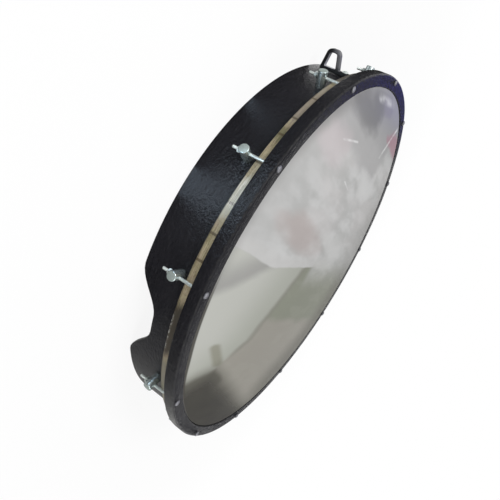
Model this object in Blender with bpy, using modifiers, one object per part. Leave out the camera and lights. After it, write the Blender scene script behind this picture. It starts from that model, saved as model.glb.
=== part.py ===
"""Tunable frame drum, metres, +Z towards the played side.

A bent-wood shell with a hand grip cut into its rear rim carries a film head over its front
edge. A wooden counter hoop presses the head's flesh hoop down over the shell, drawn by a ring
of tension bolts that pass through posts on the shell and are turned up by hexagon nuts.
"""

import math

import bmesh
import bpy
from mathutils import Matrix, Vector

# Shell
SHELL_DIAMETER = 0.4572
SHELL_WALL = 0.009
DRUM_DEPTH = 0.0752
BEARING_RADIUS = 0.004
RIM_RADIUS = 0.0012

# Hand grip cut into the rear rim
GRIP_ANGLE = math.radians(300.0)
GRIP_WIDTH = 0.112
GRIP_FLAT = 0.018
GRIP_DEPTH = 0.0254

# Head
FILM = 0.0005
HEAD_RECESS = 0.0008
COLLAR_LAP = 0.004

# Flesh hoop and counter hoop
FLESH_WIDTH = 0.0066
FLESH_DEPTH = 0.0102
FLESH_RADIUS = 0.0012
HOOP_DEPTH = 0.0144
HOOP_EDGE = 0.0044
HOOP_RADIUS = 0.0024

# Tuners
TUNERS = 12
GRIP_GAP = math.radians(32.8)
BOLT_DIAMETER = 0.003
BOLT_HEAD_DIAMETER = 0.0072
BOLT_HEAD_HEIGHT = 0.0016
BOLT_TAIL = 0.0071
POST_DIAMETER = 0.0098
POST_CAP = 0.0066
POST_GAP = 0.0044
POST_EDGE = 0.0005
POST_WEB = 0.001
NUT_FLATS = 0.0055
NUT_HEIGHT = 0.0024

# Screws that hold the posts from inside the shell
SCREW_DIAMETER = 0.004
SCREW_HEAD_DIAMETER = 0.0085
SCREW_HEAD_HEIGHT = 0.0024
SCREW_TIP_GAP = 0.0005

# Hanging loop
LOOP_ANGLE = math.radians(211.0)
LOOP_GAP = 0.0034
LOOP_WIDTH = 0.0238
LOOP_HEIGHT = 0.0229
LOOP_LEAN = 0.0047
LOOP_BEND = 0.0064
LOOP_THICKNESS = 0.004
LOOP_STRAP = 0.0056
LOOP_FOOT = 0.012
LOOP_SCREW_DIAMETER = 0.003

# Clearances
SEAT = 0.0003
FLESH_SLIP = 0.0004
HOOP_SLIP = 0.0016
BOLT_CLEARANCE = 0.0013

# Facets
RING_STEPS = 96
GRIP_SUBSTEPS = 3
POST_STEPS = 16
SHANK_STEPS = 8
HOLE_STEPS = 8
FILLET_STEPS = 2
COLLAR_STEPS = 3
FLESH_STEPS = 1
LOOP_STEPS = 6

# Radii and heights that follow from the sizes above
SHELL_OUT = SHELL_DIAMETER / 2
SHELL_IN = SHELL_OUT - SHELL_WALL
HEAD_TOP = DRUM_DEPTH - HEAD_RECESS
SHELL_TOP = HEAD_TOP - FILM - SEAT
COLLAR_IN = SHELL_OUT + SEAT
COLLAR_OUT = COLLAR_IN + FILM
BEND_START = SHELL_OUT - BEARING_RADIUS
FLESH_IN = COLLAR_OUT + FLESH_SLIP
FLESH_OUT = FLESH_IN + FLESH_WIDTH
HOOP_BACK = DRUM_DEPTH - HOOP_DEPTH
FLESH_TOP = HOOP_BACK - SEAT
FLESH_BOTTOM = FLESH_TOP - FLESH_DEPTH
BOLT_RING = FLESH_OUT + BOLT_CLEARANCE + BOLT_DIAMETER / 2
HOOP_IN = COLLAR_OUT + HOOP_SLIP
HOOP_OUT = BOLT_RING + HOOP_EDGE
POST_BASE = SHELL_OUT + SEAT
POST_LENGTH = BOLT_RING + POST_CAP - POST_BASE
POST_HEIGHT = FLESH_BOTTOM - POST_GAP - POST_DIAMETER / 2
NUT_TOP = POST_HEIGHT - POST_DIAMETER / 2 - SEAT
BOLT_LENGTH = DRUM_DEPTH + SEAT - (NUT_TOP - NUT_HEIGHT - BOLT_TAIL)
BOLT_HOLE = BOLT_DIAMETER / 2 + SEAT
SCREW_HOLE = SCREW_DIAMETER / 2 + SEAT
POST_BORE = BOLT_RING - POST_BASE - BOLT_HOLE - POST_WEB
LOOP_SCREW_HOLE = LOOP_SCREW_DIAMETER / 2 + SEAT
LOOP_END = FLESH_BOTTOM - LOOP_GAP
LOOP_FRONT = LOOP_END - LOOP_FOOT
LOOP_REAR = LOOP_FRONT - LOOP_WIDTH
LOOP_SCREW_HEIGHT = LOOP_END - LOOP_FOOT / 2

SHARP_ANGLE = math.radians(35.0)
MERGE = 1e-6


def clear_scene():
    for obj in list(bpy.data.objects):
        bpy.data.objects.remove(obj, do_unlink=True)


def new_collection(name):
    group = bpy.data.collections.new(name)
    bpy.context.scene.collection.children.link(group)
    return group


def new_material(name, colour, roughness, metallic=0.0, alpha=1.0):
    mat = bpy.data.materials.new(name)
    mat.use_nodes = True
    shader = mat.node_tree.nodes["Principled BSDF"]
    shader.inputs["Base Color"].default_value = (*colour, 1.0)
    shader.inputs["Roughness"].default_value = roughness
    shader.inputs["Metallic"].default_value = metallic
    shader.inputs["Alpha"].default_value = alpha
    return mat


def filleted(corners, steps=FILLET_STEPS):
    """Closed outline through (x, z, radius) corners, each corner rounded by its radius."""
    points = []
    for index, (x, z, radius) in enumerate(corners):
        corner = Vector((x, z))
        before = Vector(corners[index - 1][:2]) - corner
        after = Vector(corners[(index + 1) % len(corners)][:2]) - corner
        if radius <= 0.0:
            points.append(corner)
            continue
        before.normalize()
        after.normalize()
        half = before.angle(after) / 2
        centre = corner + (before + after).normalized() * (radius / math.sin(half))
        first = corner + before * (radius / math.tan(half)) - centre
        last = corner + after * (radius / math.tan(half)) - centre
        start = math.atan2(first.y, first.x)
        sweep = math.remainder(math.atan2(last.y, last.x) - start, 2 * math.pi)
        for step in range(steps + 1):
            turn = start + sweep * step / steps
            points.append(centre + radius * Vector((math.cos(turn), math.sin(turn))))
    return points


def add_object(name, mesh, group):
    obj = bpy.data.objects.new(name, mesh)
    group.objects.link(obj)
    return obj


def turned(points, steps, closed):
    """Object whose Screw modifier turns an (x, z) profile about Z."""
    mesh = bpy.data.meshes.new("profile")
    edges = [(i, i + 1) for i in range(len(points) - 1)]
    if closed:
        edges.append((len(points) - 1, 0))
    mesh.from_pydata([(x, 0.0, z) for x, z in points], edges, [])
    obj = add_object("profile", mesh, PARTS)
    screw = obj.modifiers.new("turn", "SCREW")
    screw.steps = steps
    screw.render_steps = steps
    screw.use_merge_vertices = True
    screw.merge_threshold = MERGE
    return obj


def cutter(name, cylinders, steps=HOLE_STEPS):
    """Wire object of cylinders, each given as (radius, length, matrix) along its own Z."""
    shape = bmesh.new()
    for radius, length, matrix in cylinders:
        bmesh.ops.create_cone(
            shape, cap_ends=True, segments=steps, radius1=radius, radius2=radius, depth=length, matrix=matrix
        )
    mesh = bpy.data.meshes.new(name)
    shape.to_mesh(mesh)
    shape.free()
    obj = add_object(name, mesh, CUTTERS)
    obj.hide_render = True
    obj.display_type = "WIRE"
    return obj


def cut(obj, tool):
    boolean = obj.modifiers.new("cut " + tool.name, "BOOLEAN")
    boolean.operation = "DIFFERENCE"
    boolean.object = tool


def baked(obj):
    """Mesh of an object with its modifiers applied, shaded smooth between sharp edges."""
    bpy.context.view_layer.update()
    depsgraph = bpy.context.evaluated_depsgraph_get()
    mesh = bpy.data.meshes.new_from_object(obj.evaluated_get(depsgraph))
    bpy.data.objects.remove(obj, do_unlink=True)
    weld(mesh)
    mesh.shade_smooth()
    mesh.set_sharp_from_angle(angle=SHARP_ANGLE)
    return mesh


def weld(mesh):
    shape = bmesh.new()
    shape.from_mesh(mesh)
    bmesh.ops.remove_doubles(shape, verts=shape.verts, dist=MERGE)
    shape.to_mesh(mesh)
    shape.free()


def place(name, mesh, mat, matrix=None):
    obj = add_object(name, mesh, PARTS)
    if not mesh.materials:
        mesh.materials.append(mat)
    obj.parent = AXIS
    obj.matrix_local = matrix or Matrix.Identity(4)
    return obj


def around(angle, radius, height):
    """Frame at an angle round the drum, its X pointing outwards and its Z along the axis."""
    return Matrix.Rotation(angle, 4, "Z") @ Matrix.Translation((radius, 0.0, height))


def outward(angle, radius, height):
    """Frame round the drum whose Z points outwards and whose X points down the axis."""
    return around(angle, radius, height) @ Matrix.Rotation(math.pi / 2, 4, "Y")


def tuner_angles():
    """Angles of the tuners, even round the shell but for a wider gap at the hand grip."""
    step = (2 * math.pi - GRIP_GAP) / (TUNERS - 1)
    return [GRIP_ANGLE + GRIP_GAP / 2 + step * index for index in range(TUNERS)]


def grip_rise(angle):
    """Height of the rear rim at an angle: a flat-topped bell over the hand grip."""
    reach = abs(math.remainder(angle - GRIP_ANGLE, 2 * math.pi)) * SHELL_OUT
    slope = (reach - GRIP_FLAT / 2) / ((GRIP_WIDTH - GRIP_FLAT) / 2)
    return GRIP_DEPTH * (1 + math.cos(math.pi * min(max(slope, 0.0), 1.0))) / 2


def shell_angles():
    """Angles of the shell's sections, closer together along the hand grip."""
    step = 2 * math.pi / RING_STEPS
    angles = []
    for index in range(RING_STEPS):
        angle = index * step
        middle = angle + step / 2
        reach = abs(math.remainder(middle - GRIP_ANGLE, 2 * math.pi)) - step
        parts = GRIP_SUBSTEPS if reach * SHELL_OUT < GRIP_WIDTH / 2 else 1
        angles.extend(angle + step * part / parts for part in range(parts))
    return angles


def shell_section(angle):
    """Section of the shell's wall, from its bearing edge down to its rounded rear rim."""
    rim = grip_rise(angle)
    corners = [
        (SHELL_OUT, SHELL_TOP, BEARING_RADIUS),
        (SHELL_OUT, rim, RIM_RADIUS),
        (SHELL_IN, rim, RIM_RADIUS),
        (SHELL_IN, SHELL_TOP, 0.0),
    ]
    return filleted(corners)


def lofted_shell():
    """Shell lofted through sections whose rear rim rises over the hand grip."""
    shape = bmesh.new()
    rings = []
    for angle in shell_angles():
        turn = Matrix.Rotation(angle, 4, "Z")
        rings.append([shape.verts.new(turn @ Vector((x, 0.0, z))) for x, z in shell_section(angle)])
    for index, ring in enumerate(rings):
        previous = rings[index - 1]
        for point in range(len(ring)):
            shape.faces.new((previous[point - 1], previous[point], ring[point], ring[point - 1]))
    bmesh.ops.recalc_face_normals(shape, faces=shape.faces)
    mesh = bpy.data.meshes.new("shell")
    shape.to_mesh(mesh)
    shape.free()
    return add_object("shell blank", mesh, PARTS)


def make_shell(mat):
    blank = lofted_shell()
    wall_middle = (SHELL_OUT + SHELL_IN) / 2
    holes = [(SCREW_HOLE, 2 * SHELL_WALL, outward(angle, wall_middle, POST_HEIGHT)) for angle in tuner_angles()]
    holes.append((LOOP_SCREW_HOLE, 2 * SHELL_WALL, outward(LOOP_ANGLE, wall_middle, LOOP_SCREW_HEIGHT)))
    cut(blank, cutter("shell_holes", holes))
    place("shell", baked(blank), mat)


def make_head(mat):
    """Film disc stretched flat across the shell, out to where its collar bends down."""
    bottom = HEAD_TOP - FILM
    edge = BEND_START - SEAT
    profile = [(0.0, HEAD_TOP), (edge, HEAD_TOP), (edge, bottom), (0.0, bottom)]
    place("head", baked(turned(profile, RING_STEPS, False)), mat)


def make_head_collar(mat):
    """Edge of the film, bent over the bearing edge and down inside the flesh hoop."""
    end = FLESH_TOP - COLLAR_LAP
    bend = COLLAR_IN - BEND_START
    ring = filleted([
        (BEND_START, HEAD_TOP, 0.0),
        (COLLAR_OUT, HEAD_TOP, bend + FILM),
        (COLLAR_OUT, end, 0.0),
        (COLLAR_IN, end, 0.0),
        (COLLAR_IN, HEAD_TOP - FILM, bend),
        (BEND_START, HEAD_TOP - FILM, 0.0),
    ], COLLAR_STEPS)
    place("head_collar", baked(turned(ring, RING_STEPS, True)), mat)


def make_flesh_hoop(mat):
    """Strip that the film is lapped round, its outer edges eased."""
    ring = filleted([
        (FLESH_OUT, 0.0, FLESH_RADIUS),
        (FLESH_OUT, -FLESH_DEPTH, FLESH_RADIUS),
        (FLESH_IN, -FLESH_DEPTH, 0.0),
        (FLESH_IN, 0.0, 0.0),
    ], FLESH_STEPS)
    place("flesh_hoop", baked(turned(ring, RING_STEPS, True)), mat, Matrix.Translation((0.0, 0.0, FLESH_TOP)))


def make_counter_hoop(mat):
    """Flat ring with rounded visible edges, drilled for the tension bolts."""
    ring = filleted([
        (HOOP_OUT, HOOP_DEPTH, HOOP_RADIUS),
        (HOOP_OUT, 0.0, HOOP_RADIUS),
        (HOOP_IN, 0.0, 0.0),
        (HOOP_IN, HOOP_DEPTH, HOOP_RADIUS),
    ])
    blank = turned(ring, RING_STEPS, True)
    middle = HOOP_DEPTH / 2
    holes = [(BOLT_HOLE, 2 * HOOP_DEPTH, around(angle, BOLT_RING, middle)) for angle in tuner_angles()]
    cut(blank, cutter("hoop_holes", holes))
    place("counter_hoop", baked(blank), mat, Matrix.Translation((0.0, 0.0, HOOP_BACK)))


def headed_screw(diameter, length, head_diameter, head_height):
    """Screw with a low domed head, standing on Z with the head's seat at the origin."""
    shank = diameter / 2
    head = head_diameter / 2
    tip = diameter / 6
    profile = filleted([
        (0.0, head_height, 0.0),
        (head, head_height, 0.8 * head_height),
        (head, 0.0, 0.0),
        (shank, 0.0, 0.0),
        (shank, tip - length, 0.0),
        (shank - tip, -length, 0.0),
        (0.0, -length, 0.0),
    ])
    return baked(turned(profile, SHANK_STEPS, False))


def make_tension_bolts(mat):
    mesh = headed_screw(BOLT_DIAMETER, BOLT_LENGTH, BOLT_HEAD_DIAMETER, BOLT_HEAD_HEIGHT)
    for number, angle in enumerate(tuner_angles(), 1):
        place(f"tension_bolt_{number:02d}", mesh, mat, around(angle, BOLT_RING, DRUM_DEPTH + SEAT))


def make_lug_posts(mat):
    """Posts along their own Z, cross drilled for the bolt and bored from the base."""
    side = POST_DIAMETER / 2
    profile = [
        (0.0, POST_LENGTH),
        (side - POST_EDGE, POST_LENGTH),
        (side, POST_LENGTH - POST_EDGE),
        (side, 0.0),
        (0.0, 0.0),
    ]
    blank = turned(profile, POST_STEPS, False)
    across = Matrix.Translation((0.0, 0.0, BOLT_RING - POST_BASE)) @ Matrix.Rotation(math.pi / 2, 4, "Y")
    cut(blank, cutter("post_bolt_hole", [(BOLT_HOLE, 2 * POST_DIAMETER, across)]))
    cut(blank, cutter("post_screw_bore", [(SCREW_HOLE, 2 * POST_BORE, Matrix.Identity(4))]))
    mesh = baked(blank)
    for number, angle in enumerate(tuner_angles(), 1):
        place(f"lug_post_{number:02d}", mesh, mat, outward(angle, POST_BASE, POST_HEIGHT))


def make_lug_screws(mat):
    seat = SHELL_IN - SEAT
    length = POST_BASE + POST_BORE - SCREW_TIP_GAP - seat
    mesh = headed_screw(SCREW_DIAMETER, length, SCREW_HEAD_DIAMETER, SCREW_HEAD_HEIGHT)
    turn = Matrix.Rotation(math.pi, 4, "X")
    for number, angle in enumerate(tuner_angles(), 1):
        place(f"lug_screw_{number:02d}", mesh, mat, outward(angle, seat, POST_HEIGHT) @ turn)


def hexagon_nut(flats, height, hole):
    """Hexagon nut hanging below the origin on Z."""
    corner = flats / 2 / math.cos(math.pi / 6)
    middle = Matrix.Translation((0.0, 0.0, -height / 2))
    shape = bmesh.new()
    bmesh.ops.create_cone(
        shape, cap_ends=True, segments=6, radius1=corner, radius2=corner, depth=height, matrix=middle
    )
    mesh = bpy.data.meshes.new("nut")
    shape.to_mesh(mesh)
    shape.free()
    blank = add_object("nut blank", mesh, PARTS)
    cut(blank, cutter("nut_hole", [(hole, 3 * height, middle)]))
    return baked(blank)


def make_tension_nuts(mat):
    mesh = hexagon_nut(NUT_FLATS, NUT_HEIGHT, BOLT_HOLE)
    for number, angle in enumerate(tuner_angles(), 1):
        place(f"tension_nut_{number:02d}", mesh, mat, around(angle, BOLT_RING, NUT_TOP))


def flat_outline(outlines, thickness):
    """Mesh of flat outlines in XY, the later ones cut as holes, thickened evenly about the plane."""
    curve = bpy.data.curves.new("outline", "CURVE")
    curve.dimensions = "2D"
    curve.fill_mode = "BOTH"
    curve.extrude = thickness / 2
    for outline in outlines:
        spline = curve.splines.new("POLY")
        spline.points.add(len(outline) - 1)
        for point, (x, y) in zip(spline.points, outline):
            point.co = (x, y, 0.0, 1.0)
        spline.use_cyclic_u = True
    return add_object("outline", curve, PARTS)


def inset(corners, distance):
    """Corners of a convex anticlockwise outline, moved evenly inwards."""
    moved = []
    for index, corner in enumerate(corners):
        before = (Vector(corner) - Vector(corners[index - 1])).normalized()
        after = (Vector(corners[(index + 1) % len(corners)]) - Vector(corner)).normalized()
        inward = Vector((-before.y - after.y, before.x + after.x))
        moved.append(Vector(corner) + inward * (distance / (1 + before.dot(after))))
    return moved


def make_hanging_loop(strap_mat, metal):
    """Strap bent into an arch on the shell, its foot held by a screw and a nut inside."""
    thick = LOOP_THICKNESS
    edge = thick / 4
    arch = [
        (LOOP_REAR, 0.0),
        (LOOP_FRONT, 0.0),
        (LOOP_FRONT - LOOP_LEAN, LOOP_HEIGHT),
        (LOOP_REAR + LOOP_LEAN, LOOP_HEIGHT),
    ]
    outer = filleted([
        (LOOP_REAR, 0.0, edge),
        (LOOP_END, 0.0, edge),
        (LOOP_END, thick, edge),
        (LOOP_FRONT - LOOP_LEAN * thick / LOOP_HEIGHT, thick, edge),
        (*arch[2], LOOP_BEND),
        (*arch[3], LOOP_BEND),
    ], LOOP_STEPS)
    bends = (edge, edge, LOOP_BEND - thick, LOOP_BEND - thick)
    inner = filleted([(*corner, bend) for corner, bend in zip(inset(arch, thick), bends)], LOOP_STEPS)
    strap = add_object("strap blank", baked(flat_outline([outer, inner], LOOP_STRAP)), PARTS)
    stand = Matrix.Translation((LOOP_SCREW_HEIGHT, 0.0, 0.0)) @ Matrix.Rotation(math.pi / 2, 4, "X")
    cut(strap, cutter("strap_hole", [(LOOP_SCREW_HOLE, 4 * thick, stand)]))
    axes = Matrix(((0, 1, 0, 0), (0, 0, 1, 0), (1, 0, 0, 0), (0, 0, 0, 1)))
    base = around(LOOP_ANGLE, SHELL_OUT + SEAT, 0.0)
    place("hanging_loop", baked(strap), strap_mat, base @ axes)

    seat = SHELL_OUT + 2 * SEAT + thick
    nut_seat = SHELL_IN - SEAT
    length = seat - nut_seat + 1.5 * NUT_HEIGHT
    screw = headed_screw(LOOP_SCREW_DIAMETER, length, BOLT_HEAD_DIAMETER, BOLT_HEAD_HEIGHT)
    place("loop_screw", screw, metal, outward(LOOP_ANGLE, seat, LOOP_SCREW_HEIGHT))
    nut = hexagon_nut(NUT_FLATS, NUT_HEIGHT, LOOP_SCREW_HOLE)
    place("loop_nut", nut, metal, outward(LOOP_ANGLE, nut_seat, LOOP_SCREW_HEIGHT))


clear_scene()
PARTS = new_collection("bodhran")
CUTTERS = new_collection("cutters")
AXIS = add_object("drum_axis", None, PARTS)

paint = new_material("black_paint", (0.012, 0.012, 0.015), 0.18)
film = new_material("head_film", (0.72, 0.71, 0.68), 0.2)
wood = new_material("bare_wood", (0.46, 0.36, 0.22), 0.45)
bright = new_material("bright_steel", (0.78, 0.81, 0.80), 0.18, 1.0)
leather = new_material("black_strap", (0.02, 0.02, 0.023), 0.4)

make_shell(paint)
make_head(film)
make_head_collar(film)
make_flesh_hoop(wood)
make_counter_hoop(paint)
make_tension_bolts(bright)
make_lug_posts(bright)
make_tension_nuts(bright)
make_lug_screws(bright)
make_hanging_loop(leather, bright)
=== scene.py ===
"""Looks of the tunable frame drum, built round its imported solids, in metres."""

import math

import bmesh
import bpy
from mathutils import Matrix, Vector


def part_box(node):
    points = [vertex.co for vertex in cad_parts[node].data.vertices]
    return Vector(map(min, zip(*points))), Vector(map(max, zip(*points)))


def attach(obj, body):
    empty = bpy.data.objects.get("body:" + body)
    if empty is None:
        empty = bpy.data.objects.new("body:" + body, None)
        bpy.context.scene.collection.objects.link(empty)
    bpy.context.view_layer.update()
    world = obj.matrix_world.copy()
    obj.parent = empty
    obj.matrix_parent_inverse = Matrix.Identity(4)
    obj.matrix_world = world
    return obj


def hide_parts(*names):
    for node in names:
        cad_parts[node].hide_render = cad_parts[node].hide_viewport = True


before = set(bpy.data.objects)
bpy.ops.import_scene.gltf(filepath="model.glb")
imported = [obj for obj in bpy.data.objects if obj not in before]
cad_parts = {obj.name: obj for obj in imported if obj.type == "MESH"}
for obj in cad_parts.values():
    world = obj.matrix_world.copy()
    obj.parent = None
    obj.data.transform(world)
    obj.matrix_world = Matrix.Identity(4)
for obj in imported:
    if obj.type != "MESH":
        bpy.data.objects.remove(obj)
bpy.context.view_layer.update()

# Camera of the photograph, solved in the drum's own frame
CAMERA_AT = Vector((-0.01877, -0.63178, 0.25089))
CAMERA_RIGHT = Vector((-0.48957, 0.34908, 0.79904))
CAMERA_DOWN = Vector((0.87035, 0.13990, 0.47214))
FOCAL_PIXELS = 518.98
IMAGE_PIXELS = 500.0
SENSOR = 36.0

# Shell, its rounded edges and the bell-shaped grip in its rear rim
SHELL_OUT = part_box("shell")[1][0]
SHELL_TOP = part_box("shell")[1][2]
SHELL_WALL = 0.009
SHELL_IN = SHELL_OUT - SHELL_WALL
SHELL_EDGE = 0.0008
BEARING_RADIUS = 0.004
RIM_RADIUS = 0.0012
RIM_EASE = 0.0045
GRIP_ANGLE = math.radians(300.0)
GRIP_WIDTH = 0.112
GRIP_FLAT = 0.018
GRIP_DEPTH = 0.0254

# Extra rings in the shell's mesh: above its rim, beside the screw holes and below the bearing edge
RIM_ROW = 0.0016
HOLE_ROW = 0.0042
BEARING_ROW = 0.0046

# Film, flat across the drum and bent over the shell's front edge
FILM = 0.0005
FILM_BEND = 0.0009
FILM_FLAT_EDGE = 0.001
FILM_RINGS = (0.0, 0.06, 0.12, 0.17, 0.20, 0.215)
COLLAR_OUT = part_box("head_collar")[1][0]
COLLAR_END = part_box("head_collar")[0][2]
HEAD_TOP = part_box("head")[1][2]

# Strip and hoop round the film, which slide past it
SLIP = 0.0004
FLESH_IN = COLLAR_OUT + SLIP
FLESH_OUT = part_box("flesh_hoop")[1][0]
FLESH_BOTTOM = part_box("flesh_hoop")[0][2]
FLESH_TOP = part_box("flesh_hoop")[1][2]
FLESH_RADIUS = 0.0012
FLESH_EDGE = 0.0003
FLESH_TRIM = 0.0002
HOOP_IN = COLLAR_OUT + SLIP
HOOP_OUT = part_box("counter_hoop")[1][0]
HOOP_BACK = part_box("counter_hoop")[0][2]
HOOP_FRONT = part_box("counter_hoop")[1][2]
HOOP_RADIUS = 0.0024
HOOP_LIP = 0.0007
HOOP_EDGE = 0.0004

# Humps round the drum, each with its middle and reach in degrees and its height
BOWS = ((258.0, 45.0, 0.0009), (75.0, 85.0, -0.0007), (146.0, 30.0, -0.0007))
STRIP_PLANED = ((248.0, 26.0, 0.0009),)

# Waves of the strip's edges: how many a turn, height and phase
WAVERS = ((5, 0.00012, 0.0), (17, 0.00008, 1.0))

# Tuners and screws; SEAT is the clearance between pieces that touch
TUNERS = range(1, 13)
SEAT = 0.0003
BOLT_RADIUS = 0.0015
BOLT_HOLE = BOLT_RADIUS + SEAT
HEAD_RADIUS = 0.0036
HEAD_HEIGHT = 0.0016
# Radius past which the bolt heads' domes turn darker
HEAD_DARK_RIM = 0.0026
THREAD_PITCH = 0.0005
THREAD_DEPTH = 0.00016
THREAD_LENGTH = 0.021
THREAD_TIP = 1.2 * THREAD_PITCH
POST_RADIUS = 0.0049
POST_EDGE = 0.0007
POST_FOOT_EDGE = 0.0002
POST_CAP = 0.0066
POST_WEB = 0.001
NUT_FLATS = 0.0055
NUT_HEIGHT = 0.0024
NUT_FACE = 0.49 * NUT_FLATS
NUT_CHAMFER = math.radians(30.0)
SCREW_RADIUS = 0.002
SCREW_HEAD_RADIUS = 0.00425
SCREW_HEAD_HEIGHT = 0.0024
SCREW_THREAD = 0.004
SCREW_TIP_GAP = 0.0005

# A domed head's rings, as shares of its radius, and how far of its height the dome drops
DOME_RINGS = (0.0, 0.3, 0.55, 0.75, 0.9, 1.0)
DOME_DROP = 0.85

# Cross recess: length and width as shares of the head's radius, height of its cutter as a share of the head's
RECESS_LENGTH = 1.1
RECESS_WIDTH = 0.2
RECESS_HEIGHT = 1.2

# Hanging loop, a strap with a foot that is screwed to the shell
LOOP_ANGLE = math.radians(211.0)
LOOP_FOOT = 0.012
LOOP_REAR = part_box("hanging_loop")[0][2]
LOOP_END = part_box("hanging_loop")[1][2]
LOOP_FRONT = LOOP_END - LOOP_FOOT
LOOP_SCREW_HEIGHT = LOOP_END - LOOP_FOOT / 2
LOOP_SCREW_TAIL = 1.5 * NUT_HEIGHT
LOOP_HEIGHT = 0.0229
LOOP_LEAN = 0.0047
LOOP_BEND = 0.0064
LOOP_THICKNESS = 0.004
LOOP_CORNER = LOOP_THICKNESS / 4
LOOP_STRAP = 0.0056
LOOP_EASE = 0.0006

# How finely round forms are stepped
RING_STEPS = 288
BEND_STEPS = 8
POST_STEPS = 48
SHANK_STEPS = 20
HOLE_STEPS = 24
THREAD_STEPS = 4
LOOP_STEPS = 10
SMOOTH_ANGLE = math.radians(35.0)

# How far the film's clouds and marks are drawn out along y
SQUEEZE = 0.32

# Stage: heights of the floor and of the rings and cards on it, and what the lamps look at
FLOOR_AT = -0.0006
FLOOR_REACH = 8.0
APRON_AT = 0.0002
APRON_STEPS = 60
CARD_AT = 0.0004
FLAG_AT = 1.0
AIM = (0.0, 0.0, 0.03)
APRON_GLOW = (1.0, 1.0, 0.97, 1.0)
CARD_GLOW = (0.68, 0.84, 1.0, 1.0)

# Panels of the card behind the drum: lowest and highest corner in x and z
FLAG_PANELS = (((-1.0, 0.14), (1.0, 1.40)), ((-1.0, 0.0), (-0.40, 0.14)))

# Rings on the floor: inner and outer radius, start and end in degrees, and strength
APRONS = (
    ("apron_near", 0.20, 0.62, 212.0, 305.0, 0.05),
    ("apron_grip", 0.20, 0.31, 305.0, 372.0, 0.4),
    ("apron_low", 0.31, 0.62, 305.0, 325.0, 0.1),
    ("apron_low_middle", 0.31, 0.62, 325.0, 335.0, 0.3),
    ("apron_low_end", 0.31, 0.62, 335.0, 372.0, 0.76),
    ("apron_far", 0.20, 0.62, 372.0, 555.0, 0.05),
    ("apron_high", 0.29, 0.62, 195.0, 212.0, 0.05),
)

# Small cards on the floor: corners in x and y, and strength
CARDS = (
    ("card_side", ((-0.109, -0.203), (-0.120, -0.194), (-0.270, -0.246), (-0.258, -0.268)), 1.1),
    ("card_front", ((-0.036, -0.2262), (-0.006, -0.2300), (-0.009, -0.345), (-0.068, -0.340)), 3.2),
    ("card_hoop", ((-0.125, -0.345), (-0.022, -0.365), (-0.026, -0.440), (-0.150, -0.420)), 30.0),
)

# Square lamps: place, side and power
LAMPS = (
    ("key", (-0.9, -0.9, 1.3), 0.9, 20.0),
    ("fill", (1.1, -0.6, 1.0), 0.8, 8.0),
)


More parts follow.
